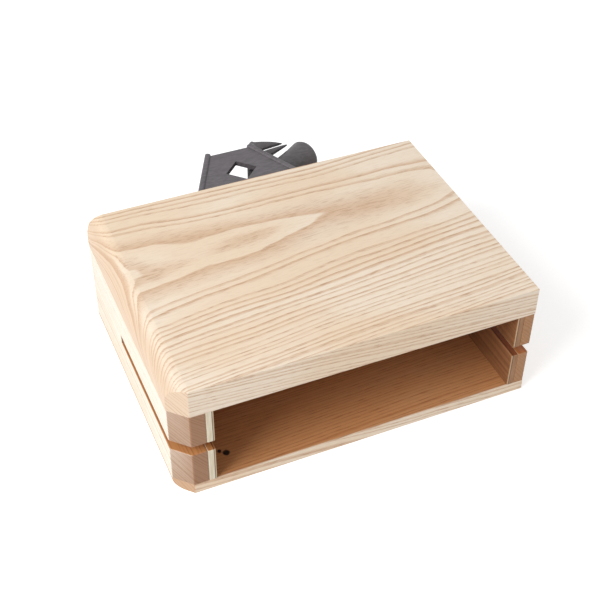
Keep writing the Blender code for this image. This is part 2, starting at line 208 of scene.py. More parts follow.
def bump(tree, shader, height, distance, strength=1.0):
    """Relief on the surface, by a Bump node in front of the shader's Normal."""
    node = tree.nodes.new("ShaderNodeBump")
    node.inputs["Strength"].default_value = strength
    node.inputs["Distance"].default_value = distance
    feed(tree, node.inputs["Height"], height)
    tree.links.new(node.outputs["Normal"], shader.inputs["Normal"])


print("the helpers for materials are ready")

# %% [markdown]
# ## Ash, grown in three dimensions
# Ash shows bold rings because its spring wood is full of wide pores.  A board is a
# slice through those rings, so one field of cylinders round the tree's middle
# gives arches on the face, lines on the edges and arcs on the end grain, and they
# all meet at the corners.  A picture of wood could not do that.  The group takes a
# place measured from the tree's middle, X along the trunk, and works in
# millimetres, so that its numbers can be read.

# %% Build the ash group
METRES_TO_MM = 1000.0
DRIFT_ALONG = 0.35
BROAD_WAVES, FINE_WAVES, FINE_SHARE = 0.030, 0.16, 0.10
RING_CLUSTERS, CLUSTER_SHIFT = 0.45, 2.4
SIDE_SEED, RISE_SEED = 11.0, 47.0
ash_group, take, give = new_group(
    "ash_rings",
    [("Place", "Vector", None), ("Ring Width", "Float", 2.0), ("Wander", "Float", 2.0),
     ("Pale", "Color", (0.8, 0.67, 0.5, 1)), ("Line", "Color", (0.6, 0.38, 0.2, 1)),
     ("End Colour", "Color", (0.4, 0.24, 0.13, 1)), ("End Grain", "Float", 0.0),
     ("Boldness", "Float", 0.7)],
    [("Colour", "Color"), ("Roughness", "Float"), ("Height", "Float")])
tree = ash_group
trunk = vector_maths(tree, "SCALE", take["Place"])
trunk.node.inputs["Scale"].default_value = METRES_TO_MM
along, across, rise = split(tree, trunk)
slow = joined(tree, maths(tree, "MULTIPLY", along, DRIFT_ALONG), across, rise)


def wandered(direction, seed):
    """A ring's sideways drift: slow noise, from -1 to 1, times the wander."""
    shifted = vector_maths(tree, "ADD", slow, (seed, seed, seed))
    broad = maths(tree, "SUBTRACT", noise(tree, shifted, BROAD_WAVES, 1.0), 0.5)
    fine = maths(tree, "SUBTRACT", noise(tree, shifted, FINE_WAVES, 1.0), 0.5)
    drift = maths(tree, "MULTIPLY_ADD", fine, FINE_SHARE, broad)
    amount = maths(tree, "MULTIPLY", take["Wander"], 3.0)
    return maths(tree, "MULTIPLY_ADD", drift, amount, direction)


side, height_off = wandered(across, SIDE_SEED), wandered(rise, RISE_SEED)
radius = maths(tree, "SQRT", maths(tree, "ADD", maths(tree, "MULTIPLY", side, side),
                                   maths(tree, "MULTIPLY", height_off, height_off)))
ring = maths(tree, "DIVIDE", radius, take["Ring Width"])
uneven = noise(tree, joined(tree, ring, 0.0, 0.0), RING_CLUSTERS, 1.0)
ring = maths(tree, "MULTIPLY_ADD", uneven, CLUSTER_SHIFT, ring)
phase = maths(tree, "FRACT", ring)
year = noise(tree, joined(tree, maths(tree, "FLOOR", ring), 3.7, 0.0), 0.73, 0.0)
opening = ease(tree, phase, 0.0, 0.10)
fading = ease(tree, phase, 0.12, 0.62, 1.0, 0.0)
spring_wood = maths(tree, "MULTIPLY", opening, fading)
print("one ring is a fast rise and a slow fade of spring wood")

# %% [markdown]
# The pores are short dark dashes along the grain, most of them in the spring wood.
# Noise stretched along the trunk gives them: on a face it reads as dashes, and on
# the end grain as dots, from the same numbers.  Broad clouds of warmer and cooler
# cream keep a large face from looking printed.

# %% Colour the rings
WARM_TINT = (0.95, 0.885, 0.81, 1)
PORE_TINT = (0.72, 0.62, 0.55, 1)
PORE_STRETCH, STREAK_STRETCH = 0.07, 0.03
pore_place = joined(tree, maths(tree, "MULTIPLY", along, PORE_STRETCH), across, rise)
pores = ease(tree, noise(tree, pore_place, 2.1, 1.0), 0.53, 0.66)
streak_place = joined(tree, maths(tree, "MULTIPLY", along, STREAK_STRETCH), across, rise)
streaks = noise(tree, streak_place, 0.9, 2.0)
clouds = noise(tree, slow, 0.03, 1.0)
line_share = maths(tree, "MULTIPLY", spring_wood,
                   maths(tree, "MULTIPLY_ADD", year, 1.1, 0.25), clamp=True)
line_share = maths(tree, "MULTIPLY", line_share, take["Boldness"])
pore_share = maths(tree, "MULTIPLY", pores,
                   maths(tree, "MULTIPLY_ADD", spring_wood, 0.5, 0.14))
warm = blend_colour(tree, 1.0, take["Pale"], WARM_TINT, "MULTIPLY")
ground = blend_colour(tree, ease(tree, clouds, 0.40, 0.64), take["Pale"], warm)
ground = blend_colour(tree, ease(tree, streaks, 0.45, 0.75, 0.0, 0.35), ground, warm)
lined = blend_colour(tree, line_share, ground, take["Line"])
dark_pore = blend_colour(tree, 1.0, take["Line"], PORE_TINT, "MULTIPLY")
face_colour = blend_colour(tree, pore_share, lined, dark_pore)
end_shade = blend_colour(tree, 0.55, take["End Colour"], face_colour, "MULTIPLY")
end_tone = blend_colour(tree, line_share, take["End Colour"], end_shade)
feed(tree, give["Colour"], blend_colour(tree, take["End Grain"], face_colour, end_tone))
feed(tree, give["Roughness"], maths(tree, "MULTIPLY_ADD", spring_wood, 0.14, 0.46))
feed(tree, give["Height"], maths(tree, "MULTIPLY_ADD", pore_share, -1.0,
                                 maths(tree, "MULTIPLY", spring_wood, -0.25)))
print("the ash group has", len(ash_group.nodes), "nodes")

# %% [markdown]
# ## Boards cut from the tree
# Every board has its own place in its tree: where the middle of the trunk runs, and which way.
# A Mapping node set to Texture takes that line away from the Object coordinates, so the same
# group serves every board.  End grain is told by the surface's direction along the trunk.  The
# inside of the box is painted a deep orange brown as painted shade, where little light reaches,
# and the faces in the saw kerf are painted darker as painted shade too, so both are tinted by
# place.

# %% Make an ash material
# Painted shade: this tint darkens the faces that look up or down inside the box.
CAVITY_SHADE_TINT = (0.70, 0.42, 0.235, 1)
# Painted shade: this tint darkens the faces that look up or down inside the saw kerf.
KERF_SHADE_TINT = (0.66, 0.33, 0.14, 1)
box_low, box_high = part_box("top_plate")
LEFT_X, RIGHT_X = box_low.x, box_high.x
FRONT_Y = box_low.y
CEILING_Z = box_low.z
FLOOR_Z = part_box("bottom_plate")[1].z
SAW_LOW, SAW_HIGH = 0.0285, 0.0345
SAW_MARGIN = 0.0006
CAVITY_LEFT, CAVITY_RIGHT = LEFT_X + 0.0208, RIGHT_X - 0.0095
# The painted shade inside the box begins this far behind the front edge and is full at the
# second distance.
UNSHADED_RIM_START, UNSHADED_RIM_END = 0.0002, 0.0010
PORE_RELIEF = 0.00012


def object_place(tree):
    """Object coordinates, and the surface's direction in the same axes."""
    node = tree.nodes.new("ShaderNodeTexCoord")
    return node.outputs["Object"], node.outputs["Normal"]


def within(tree, value, low, high, edge=0.0004):
    """One between two values and zero outside them."""
    above = ease(tree, value, low - edge, low + edge)
    below = ease(tree, value, high - edge, high + edge, 1.0, 0.0)
    return maths(tree, "MULTIPLY", above, below)


def ash_material(name, middle, turn, ring_width, wander, pale, line, end, boldness,
                 inside=None):
    """Ash whose trunk passes through middle and is turned from X by turn."""
    material, tree, shader = new_material(name, Coat_Roughness=0.45)
    place, normal = object_place(tree)
    mapping = tree.nodes.new("ShaderNodeMapping")
    mapping.vector_type = "TEXTURE"
    mapping.inputs["Location"].default_value = middle
    mapping.inputs["Rotation"].default_value = turn
    feed(tree, mapping.inputs["Vector"], place)
    facing = tree.nodes.new("ShaderNodeMapping")
    facing.vector_type = "TEXTURE"
    facing.inputs["Rotation"].default_value = turn
    feed(tree, facing.inputs["Vector"], normal)
    end_on = maths(tree, "ABSOLUTE", split(tree, facing.outputs[0])[0])
    wood = place_group(tree, ash_group, Place=mapping.outputs[0], Ring_Width=ring_width,
                       Wander=wander, Pale=pale, Line=line, End_Colour=end,
                       End_Grain=ease(tree, end_on, 0.25, 0.85), Boldness=boldness)
    colour = wood["Colour"]
    if inside:
        colour = inside(tree, place, normal, colour)
    feed(tree, shader.inputs["Base Color"], colour)
    feed(tree, shader.inputs["Roughness"], wood["Roughness"])
    bump(tree, shader, wood["Height"], PORE_RELIEF, 0.6)
    return material


def painted_cavity_shade(tree, place, normal, colour):
    """Darkens a face that looks up or down into the box, as painted shade."""
    x, y, z = split(tree, place)
    facing = ease(tree, maths(tree, "ABSOLUTE", split(tree, normal)[2]), 0.6, 0.9)
    in_box = maths(tree, "MULTIPLY",
                   within(tree, z, FLOOR_Z - 0.0012, CEILING_Z + 0.0004),
                   within(tree, x, CAVITY_LEFT, CAVITY_RIGHT))
    behind_rim = ease(tree, y, FRONT_Y + UNSHADED_RIM_START, FRONT_Y + UNSHADED_RIM_END)
    share = maths(tree, "MULTIPLY", facing, maths(tree, "MULTIPLY", in_box, behind_rim))
    return blend_colour(tree, share, colour,
                        blend_colour(tree, 1.0, colour, CAVITY_SHADE_TINT, "MULTIPLY"))


PALE_ASH = (0.87, 0.745, 0.60, 1)
LINE_ASH = (0.64, 0.42, 0.265, 1)
END_ASH = (0.50, 0.30, 0.17, 1)
print("the box is", round((RIGHT_X - LEFT_X) * 1000), "mm wide")

# %% [markdown]
# ## The top, the floor and the back
# The top is flat sawn: the middle of its tree runs under the back half of the
# board, deeper to the right, so the rings leave as arches that point right.  The
# floor comes from further out, so its lines run nearly straight.  A comma-shaped
# dark knot lies on the floor near the left end; it is drawn by the distance to three
# points: the head, the tail and the neck between them.

# %% Finish the plates and the back wall
KNOT_HEAD = (-0.0690, -0.0595)
KNOT_TAIL = (-0.0750, -0.0553)
HEAD_SIZE, TAIL_SIZE, NECK_SIZE = 0.0027, 0.0022, 0.0019
KNOT_RAGGED = 0.0014
KNOT_COLOUR = (0.012, 0.006, 0.004, 1)


def floor_shade_and_knot(tree, place, normal, colour):
    """The floor's painted shade inside the box, and its knot."""
    colour = painted_cavity_shade(tree, place, normal, colour)
    x, y, z = split(tree, place)
    rough_edge = maths(tree, "MULTIPLY", noise(tree, place, 420.0, 2.0), KNOT_RAGGED)

    def spot(centre, radius):
        """One near the centre, fading to zero at the radius."""
        dx = maths(tree, "SUBTRACT", x, centre[0])
        dy = maths(tree, "SUBTRACT", y, centre[1])
        reach = maths(tree, "SQRT", maths(tree, "ADD", maths(tree, "MULTIPLY", dx, dx),
                                          maths(tree, "MULTIPLY", dy, dy)))
        return ease(tree, maths(tree, "ADD", reach, rough_edge), radius * 0.75, radius * 1.15,
                    1.0, 0.0)

    middle = [(a + b) / 2 for a, b in zip(KNOT_HEAD, KNOT_TAIL)]
    tail = maths(tree, "MAXIMUM", spot(KNOT_TAIL, TAIL_SIZE), spot(middle, NECK_SIZE))
    knot = maths(tree, "MAXIMUM", spot(KNOT_HEAD, HEAD_SIZE), tail)
    on_floor = maths(tree, "MULTIPLY", knot, ease(tree, z, FLOOR_Z - 0.002, FLOOR_Z - 0.001))
    return blend_colour(tree, on_floor, colour, KNOT_COLOUR)


# The top's underside and the floor's top take the cavity's painted shade.
top_ash = ash_material(
    "ash_top", middle=(-0.050, 0.022, -0.037), turn=(0, math.radians(1.2), math.radians(3.4)),
    ring_width=1.8, wander=1.3, pale=PALE_ASH, line=LINE_ASH, end=(0.66, 0.50, 0.36, 1),
    boldness=0.85, inside=painted_cavity_shade)
floor_ash = ash_material(
    "ash_floor", middle=(0.0, 0.150, -0.120), turn=(0, 0, math.radians(2)),
    ring_width=1.7, wander=1.4, pale=PALE_ASH, line=LINE_ASH, end=END_ASH, boldness=0.75,
    inside=floor_shade_and_knot)
back_ash = ash_material(
    "ash_back", middle=(0.0, -0.020, -0.030), turn=(0, math.radians(3), 0),
    ring_width=2.2, wander=2.0, pale=PALE_ASH, line=LINE_ASH, end=END_ASH, boldness=0.6)
print("three boards share the ash group")

# %% [markdown]
# ## The end blocks
# The two ends run front to back, so their front faces are end grain, darker and duller, while
# the long left face stays nearly white.  The faces inside the saw cut through them are painted
# darker, as painted shade.

# %% Finish the end blocks
def painted_kerf_shade(tree, place, normal, colour):
    """Tints the faces of the saw kerf darker as painted shade: those that look up or down
    between its heights.
    """
    z = split(tree, place)[2]
    flat = ease(tree, maths(tree, "ABSOLUTE", split(tree, normal)[2]), 0.6, 0.9)
    in_cut = within(tree, z, SAW_LOW - SAW_MARGIN, SAW_HIGH + SAW_MARGIN)
    kerf_shaded = blend_colour(tree, 1.0, colour, KERF_SHADE_TINT, "MULTIPLY")
    return blend_colour(tree, maths(tree, "MULTIPLY", flat, in_cut), colour, kerf_shaded)


# Both end blocks take the saw kerf's painted shade.
left_ash = ash_material(
    "ash_left_end", middle=(-0.170, 0.0, -0.045), turn=(0, math.radians(1), math.radians(90)),
    ring_width=1.6, wander=1.2, pale=(0.80, 0.75, 0.655, 1), line=(0.64, 0.53, 0.40, 1),
    end=(0.33, 0.165, 0.083, 1), boldness=0.95, inside=painted_kerf_shade)
right_ash = ash_material(
    "ash_right_end", middle=(0.000, 0.0, -0.060), turn=(0, 0, math.radians(90)),
    ring_width=1.7, wander=1.2, pale=(0.62, 0.40, 0.22, 1), line=(0.42, 0.22, 0.10, 1),
    end=(0.40, 0.19, 0.075, 1), boldness=0.5, inside=painted_kerf_shade)
# The saw kerf's painted shade lies between these two heights.
print("both ends are scorched between", SAW_LOW, "and", SAW_HIGH)

# %% [markdown]
# ## The liners
# Inside each end stands a thin strip of plywood.  Its front edge shows the make-up: a core, a
# thin dark glue line and a face veneer, pale on the left and brown like its block on the right.
# The layers lie across X, so steps along X draw them, and the inner face takes the cavity's dark
# brown painted shade, with ring lines in it.

# %% Finish the liners
GLUE_START, GLUE_END, VENEER_END = 0.70, 0.80, 0.97
GLUE_COLOUR = (0.05, 0.03, 0.02, 1)
# Painted shade: the liner's inner face, which looks into the box, is painted these dark browns.
INNER_SHADE_BROWN, INNER_SHADE_DARK = (0.30, 0.13, 0.05, 1), (0.20, 0.08, 0.03, 1)


def plywood_material(name, outer_x, inner_x, core, fleck, veneer):
    """Plywood whose layers lie between its outer and inner faces."""
    material, tree, shader = new_material(name)
    place, normal = object_place(tree)
    x = split(tree, place)[0]
    depth = maths(tree, "DIVIDE", maths(tree, "SUBTRACT", x, outer_x), inner_x - outer_x)
    fibre = noise(tree, vector_maths(tree, "MULTIPLY", place, (900.0, 900.0, 90.0)), 1.0, 2.0)
    colour = blend_colour(tree, ease(tree, fibre, 0.3, 0.75, 0.0, 0.55), core, fleck)
    glue = within(tree, depth, GLUE_START, GLUE_END, 0.02)
    colour = blend_colour(tree, glue, colour, GLUE_COLOUR)
    colour = blend_colour(tree, within(tree, depth, GLUE_END, VENEER_END, 0.02), colour, veneer)
    # Painted shade: the face that looks into the box turns dark brown, with ring lines, like the
    # cavity.
    shaded_inner_face = maths(tree, "MULTIPLY", ease(tree, depth, 0.96, 0.985),
                       ease(tree, maths(tree, "ABSOLUTE", split(tree, normal)[0]), 0.6, 0.9))
    rings = noise(tree, vector_maths(tree, "MULTIPLY", place, (200.0, 12.0, 420.0)), 1.0, 2.0)
    painted_inner_shade = blend_colour(tree, ease(tree, rings, 0.35, 0.65), INNER_SHADE_BROWN, INNER_SHADE_DARK)
    colour = blend_colour(tree, shaded_inner_face, colour, painted_inner_shade)
    # The saw kerf's painted shade runs on across the liners.
    feed(tree, shader.inputs["Base Color"], painted_kerf_shade(tree, place, normal, colour))
    feed(tree, shader.inputs["Roughness"], ease(tree, fibre, 0.3, 0.8, 0.55, 0.75))
    bump(tree, shader, fibre, 0.0001, 0.4)
    return material


left_low, left_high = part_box("left_liner")
right_low, right_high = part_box("right_liner")
left_ply = plywood_material("plywood_left", left_low.x, left_high.x, (0.78, 0.71, 0.56, 1),
                            (0.58, 0.45, 0.28, 1), (0.62, 0.47, 0.31, 1))
right_ply = plywood_material("plywood_right", right_high.x, right_low.x, (0.36, 0.185, 0.088, 1),
                             (0.27, 0.13, 0.06, 1), (0.47, 0.30, 0.17, 1))
print("the liners are", round((left_high.x - left_low.x) * 1000, 1), "and",
      round((right_high.x - right_low.x) * 1000, 1), "mm thick")

# %% [markdown]
# ## Boards with eased edges and tight glue joints
# The solids keep a hair's gap where boards meet, and their edges are dead sharp.  A
# joiner's edges are rubbed over with paper and the joints are tight.  We copy each
# board's mesh, merge its loose triangles, move the faces at a joint until they
# touch, and give Bevel only the outer edges, so that no groove opens at a joint.

# %% Dress a board
EASED_EDGE = 0.0006
SHORT_EDGE = 0.0010
SMOOTH_BELOW = math.radians(30)
EDGE_ANGLE = 0.5
SAME_PLACE, SAME_HEIGHT = 1e-5, 1e-4
WELD_DISTANCE = 1e-6


def merged_copy(node):
    """A copy of a solid's mesh with its triangles joined and its flat faces whole."""
    shape = bmesh.new()
    shape.from_mesh(nodes[node].data)
    bmesh.ops.remove_doubles(shape, verts=shape.verts, dist=WELD_DISTANCE)
    bmesh.ops.dissolve_limit(shape, angle_limit=math.radians(1), verts=shape.verts,
                             edges=shape.edges)
    return shape


def new_piece(name, mesh, material, body, slot, *replaced):
    """Put a finished mesh in the scene, on its body, in place of its solids."""
    piece = bpy.data.objects.new(name, mesh)
    scene.collection.objects.link(piece)
    mesh.materials.clear()
    mesh.materials.append(material)
    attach(piece, body)
    if replaced:
        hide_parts(*replaced)
    return piece


def dress_board(node, material, slot, joint_heights, close=None):
    """A board with eased outer edges; close lists (axis, from, to) moves of joint faces."""
    shape = merged_copy(node)
    for axis, start, end in close or ():
        for vertex in shape.verts:
            if abs(vertex.co[axis] - start) < SAME_PLACE:
                vertex.co[axis] = end
    layer = shape.edges.layers.float.new("bevel_weight_edge")
    eased = 0
    for edge in shape.edges:
        heights = [vertex.co.z for vertex in edge.verts]
        at_joint = any(all(abs(z - joint) < SAME_HEIGHT for z in heights)
                       for joint in joint_heights)
        is_corner = edge.calc_length() > SHORT_EDGE and edge.calc_face_angle(0) > EDGE_ANGLE
        if is_corner and not at_joint:
            edge[layer] = 1.0
            eased += 1
    mesh = bpy.data.meshes.new(node + "_board")
    shape.to_mesh(mesh)
    shape.free()
    mesh.shade_smooth()
    mesh.set_sharp_from_angle(angle=SMOOTH_BELOW)
    board = new_piece(node + "_board", mesh, material, "block", slot, node)
    bevel = board.modifiers.new("eased_edges", "BEVEL")
    bevel.limit_method = "WEIGHT"
    bevel.width = EASED_EDGE
    bevel.segments = 3
    bevel.harden_normals = True
    print(board.name, "has", eased, "eased edges")
    return board


joints = (CEILING_Z, FLOOR_Z)
dress_board("top_plate", top_ash, "ash", joints)
dress_board("bottom_plate", floor_ash, "ash", joints)
for node, material, slot in (("back_wall", back_ash, "ash"),
                             ("left_end_block", left_ash, "ash_end"),
                             ("right_end_block", right_ash, "ash_end"),
                             ("left_liner", left_ply, "plywood"),
                             ("right_liner", right_ply, "plywood")):
    low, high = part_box(node)
    close = [(2, low.z, FLOOR_Z), (2, high.z, CEILING_Z)]
    if node == "left_liner":
        close.append((0, low.x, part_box("left_end_block")[1].x))
    if node == "right_liner":
        close.append((0, high.x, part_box("right_end_block")[0].x))
    dress_board(node, material, slot, joints, close)

# %% [markdown]
# ## Black plastic
# The bracket and the knob are moulded from a filled black plastic.  It is dark
# grey rather than black in the light, with a fine texture that runs slightly
# streaked along the flow, and broad clouds a little paler.  One group makes the
# texture for all the plastic pieces.

# %% Finish the plastic and the metal
moulded_group, take, give = new_group(
    "moulded_plastic", [("Place", "Vector", None), ("Tone", "Color", (0.1, 0.1, 0.1, 1))],
    [("Colour", "Color"), ("Roughness", "Float"), ("Height", "Float")])
tree = moulded_group
FLOW_GRAIN = (220.0, 900.0, 900.0)
grit = noise(tree, take["Place"], 1500.0, 2.0, 0.6)
flow = noise(tree, vector_maths(tree, "MULTIPLY", take["Place"], FLOW_GRAIN), 1.0, 3.0)
cloud = noise(tree, take["Place"], 60.0, 2.0)
lighter = blend_colour(tree, 1.0, take["Tone"], (1.45, 1.42, 1.45, 1), "MULTIPLY")
tone = blend_colour(tree, ease(tree, flow, 0.35, 0.7), take["Tone"], lighter)
tone = blend_colour(tree, ease(tree, cloud, 0.4, 0.7, 0.0, 0.35), tone, lighter)
feed(tree, give["Colour"], tone)
feed(tree, give["Roughness"], ease(tree, cloud, 0.3, 0.7, 0.42, 0.56))
feed(tree, give["Height"], maths(tree, "MULTIPLY_ADD", flow, 0.6, grit))


def plastic_material(name, tone):
    """Moulded plastic of one tone."""
    material, tree, shader = new_material(name, Specular_IOR_Level=0.5)
    place = object_place(tree)[0]
    moulded = place_group(tree, moulded_group, Place=place, Tone=tone)
    feed(tree, shader.inputs["Base Color"], moulded["Colour"])
    feed(tree, shader.inputs["Roughness"], moulded["Roughness"])
    bump(tree, shader, moulded["Height"], 0.00005, 0.5)
    return material


def steel_material(name, tone):
    """Zinc plated steel, with fine scratches and a faintly cloudy plating."""
    material, tree, shader = new_material(name, Metallic=1.0)
    place = object_place(tree)[0]
    scratch = noise(tree, vector_maths(tree, "MULTIPLY", place, (300.0, 2500.0, 2500.0)),
                    1.0, 2.0)
    cloudy = noise(tree, place, 350.0, 2.0)
    darker = tuple(part * 0.8 for part in tone[:3]) + (1,)
    feed(tree, shader.inputs["Base Color"],
         blend_colour(tree, ease(tree, cloudy, 0.35, 0.7), tone, darker))
    feed(tree, shader.inputs["Roughness"], ease(tree, scratch, 0.3, 0.75, 0.26, 0.44))
    bump(tree, shader, scratch, 0.00002, 0.4)
    return material


bracket_plastic = plastic_material("plastic_bracket", (0.090, 0.082, 0.088, 1))
knob_plastic = plastic_material("plastic_knob", (0.082, 0.076, 0.080, 1))
shoe_finish = plastic_material("plastic_shoe", (0.030, 0.028, 0.028, 1))
steel = steel_material("zinc_steel", (0.66, 0.66, 0.67, 1))
for node, material in (("bracket_body", bracket_plastic), ("captive_nut", steel),
                       ("pressure_shoe", shoe_finish)):
    nodes[node].data.materials.clear()
    nodes[node].data.materials.append(material)
print("the bracket, the nut and the shoe keep their solids and take a finish")

# %% [markdown]
# ## Surfaces on a grid
# The finer pieces are surfaces: rows of points along the piece, columns round it.
# Numpy works out all the points at once, one function turns the grid into faces,
# and merging doubles closes a pole where a whole row falls on one point.  The
# pieces of the clamp share one frame: X towards the back left, Y up and Z outwards
# along the screw.

# %% Turn a grid into a mesh
screw_joint = next(joint for joint in frame["joints"] if joint["name"] == "knob_spin")
OUTWARD = -np.array(screw_joint["axis"])
CLAMP_CENTRE = np.array(screw_joint["pos_m"])
UP = np.array((0.0, 0.0, 1.0))
CREASE = math.radians(38)
TO_BACK_LEFT = np.cross(UP, OUTWARD)


def on_clamp(points):
    """Points of the clamp's frame, as points of the world."""
    return (CLAMP_CENTRE + points[..., :1] * TO_BACK_LEFT + points[..., 1:2] * UP
            + points[..., 2:] * OUTWARD)


def grid_faces(rows, columns, looped):
    """Four-sided faces of a grid that closes round its columns, and along its rows if looped."""
    index = np.arange(rows * columns).reshape(rows, columns)
    here = index if looped else index[:-1]
    there = np.roll(index, -1, axis=0) if looped else index[1:]
    return np.stack([here, np.roll(here, -1, axis=1), np.roll(there, -1, axis=1), there],
                    axis=-1).reshape(-1, 4)


def surface_mesh(name, shells):
    """One mesh of several closed shells, each (points, looped)."""
    points, faces, count = [], [], 0
    for shell, looped in shells:
        faces.append(grid_faces(*shell.shape[:2], looped) + count)
        points.append(shell.reshape(-1, 3))
        count += points[-1].shape[0]
    mesh = bpy.data.meshes.new(name)
    mesh.from_pydata(np.concatenate(points).tolist(), [], np.concatenate(faces).tolist())
    shape = bmesh.new()
    shape.from_mesh(mesh)
    bmesh.ops.remove_doubles(shape, verts=shape.verts, dist=WELD_DISTANCE)
    bmesh.ops.recalc_face_normals(shape, faces=shape.faces)
    shape.to_mesh(mesh)
    shape.free()
    mesh.shade_smooth()
    mesh.set_sharp_from_angle(angle=CREASE)
    return mesh


def turned(radii, heights, columns=64):
    """A turned grid: each row is a circle of its radius at its height.

    radii may also be a grid, so that the radius changes round the piece.
    """
    radii, heights = np.asarray(radii, float), np.asarray(heights, float)
    angle = np.linspace(0, math.tau, columns, endpoint=False)
    grid = radii if radii.ndim == 2 else np.repeat(radii[:, None], columns, axis=1)
    height = heights if heights.ndim == 2 else np.repeat(heights[:, None], columns, axis=1)
    return np.stack([grid * np.cos(angle), grid * np.sin(angle), height], axis=-1)


print("the screw points along", np.round(OUTWARD, 3))

# %% [markdown]
# ## The clamp screw
# An M6 screw has a one millimetre pitch, and its thread shows in the gap between
# the bracket and the knob.  A helix cut as a Boolean is slow and ragged.  As a
# surface it is one line: the radius falls in a V, once for each pitch, and the V
# slides along as we go round.

# %% Make the clamp screw
THREAD_PITCH = 0.0010
THREAD_DEPTH = 0.0006
THREAD_START = 0.0102
THREAD_RADIUS = 0.0030
THREAD_COLUMNS = 40
ROWS_PER_TURN = 8
TIP_TAPER, TIP_SHARE = 0.0012, 0.25
HEAD_COLUMNS = 96
HEAD_CLEARANCE = 0.0003
SHANK_OVERLAP = 0.0005
HUB_START = 0.0310
HUB_END = 0.0600
POCKET_DEPTH = 0.0062
HEAD_HEIGHT = 0.0040
HEAD_FLATS = 0.0100
head_start = HUB_END - POCKET_DEPTH + HEAD_CLEARANCE
rows = ROWS_PER_TURN * int((head_start - THREAD_START) / THREAD_PITCH)
heights = np.linspace(THREAD_START, head_start + SHANK_OVERLAP, rows)
angle = np.linspace(0, math.tau, THREAD_COLUMNS, endpoint=False)
wave = np.mod(heights[:, None] / THREAD_PITCH - angle / math.tau, 1)
shank = THREAD_RADIUS - THREAD_DEPTH * (1 - np.abs(2 * wave - 1))
taper = np.clip((heights[:, None] - THREAD_START) / TIP_TAPER, 0, 1)
shank *= taper * TIP_SHARE + 1 - TIP_SHARE
closing = np.zeros((1, THREAD_COLUMNS))
shank = np.concatenate([closing, shank, closing])
heights = np.concatenate([heights[:1], heights, heights[-1:]])

angle = np.linspace(0, math.tau, HEAD_COLUMNS, endpoint=False)
flat = HEAD_FLATS / 2 / np.cos(np.mod(angle, math.tau / 6) - math.tau / 12)
# each row: 1 for the full hexagon or 0 for its middle, the height, the corner's reach
head_rows = [(0.0, 0.0, 0.0), (1.0, 0.0, 0.9), (1.0, 0.0002, 1.0), (1.0, 0.0034, 1.0),
             (1.0, HEAD_HEIGHT, 0.94), (0.0, HEAD_HEIGHT, 0.0)]
head = np.array([np.minimum(flat, HEAD_FLATS / 2 / math.cos(math.pi / 6) * cap) * on
                 for on, rise, cap in head_rows])
head_heights = [head_start + rise for on, rise, cap in head_rows]
new_piece("clamp_screw_threaded",
          surface_mesh("clamp_screw",
                       [(on_clamp(turned(shank, heights, THREAD_COLUMNS)), False),
                        (on_clamp(turned(head, head_heights, HEAD_COLUMNS)), False)]),
          steel, "knob", "steel", "clamp_screw")
print("the thread has", round((head_start - THREAD_START) / THREAD_PITCH), "turns")

# %% [markdown]
# ## The wing knob
# The knob is one moulding: a hub that flares outwards, and on each side a wing
# split into two swept fingers for the thumb and finger.  We make the hub as a
# turned shape and each finger as a flat oval carried outwards between an inner and
# an outer edge.  A fine voxel remesh then fuses them and a little smoothing leaves
# the soft inside corners that a mould has.

# %% Make the wing knob
WING_SPAN = 0.0265
WING_START = 0.0318
WING_REACH = 0.054
ROOT_END = 0.0345
HALF_THICKNESS = 0.0021
WING_TURN = math.radians(28)
OUTER_TIP, INNER_TIP = 0.0146, 0.0120
RIM_BULGE = 0.55
HUB_RADIUS = 0.0104
VOXEL = 0.0004
OUTER_ROOT = 0.0188
INNER_ROOT_LOW, INNER_ROOT_HIGH = 0.0118, 0.0178
ROOT_OVERLAP = 0.002
TIP_WIDTH = 0.0008
SPAN_MARGIN = 0.0003
WEB_START = 0.004
BORE_RADIUS, POCKET_RADIUS = 0.0033, 0.00595
HUB_ROUND = 0.0033


def wing_rim(across):
    """How far out the wing reaches: a slightly bulged slope from its tip up to the hub."""
    share = (WING_SPAN - across) / (WING_SPAN - HUB_RADIUS)
    return WING_START + (WING_REACH - WING_START) * (share + RIM_BULGE * share * (1 - share))


def oval_along(inner, outer, outward, thickness, columns=28):
    """A flat oval carried outwards: its ends follow the inner and outer edges.

    Each row is a superellipse, x = c + w cos|cos|^-0.3, y = t sin|sin|^-0.3, whose
    middle and half width come from the two edges and whose half height is the
    thickness.
    """
    angle = np.linspace(0, math.tau, columns, endpoint=False)
    cos = np.sign(np.cos(angle)) * np.abs(np.cos(angle)) ** 0.7
    sin = np.sign(np.sin(angle)) * np.abs(np.sin(angle)) ** 0.7
    middle, half = (inner + outer) / 2, (outer - inner) / 2
    across = middle[:, None] + half[:, None] * cos
    above = thickness[:, None] * sin
    out = np.repeat(outward[:, None], columns, axis=1)
    grid = np.stack([across, above, out], axis=-1)
    caps = [np.repeat(row.mean(axis=0, keepdims=True), columns, axis=0)
            for row in (grid[0], grid[-1])]
    return np.concatenate([caps[0][None], grid, caps[1][None]])


def finger(tip, root_inner, root_outer, rim_side):
    """One finger, from inside the web out to its tip; rim_side follows the wing's rim."""
    share = np.linspace(0, 1, 24)
    start = ROOT_END - ROOT_OVERLAP
    outward = start + (wing_rim(tip) - start) * share
    inner = root_inner + (tip - root_inner) * share
    outer = root_outer + (tip + TIP_WIDTH - root_outer) * share
    if rim_side:
        tries = np.linspace(WING_SPAN, tip, 200)
        on_rim = np.interp(outward, wing_rim(tries), tries)
        outer = np.minimum(np.maximum(on_rim, inner + TIP_WIDTH), WING_SPAN - SPAN_MARGIN)
    thickness = HALF_THICKNESS * np.sqrt(1 - 0.85 * share ** 3)
    return oval_along(inner, outer, outward, thickness)


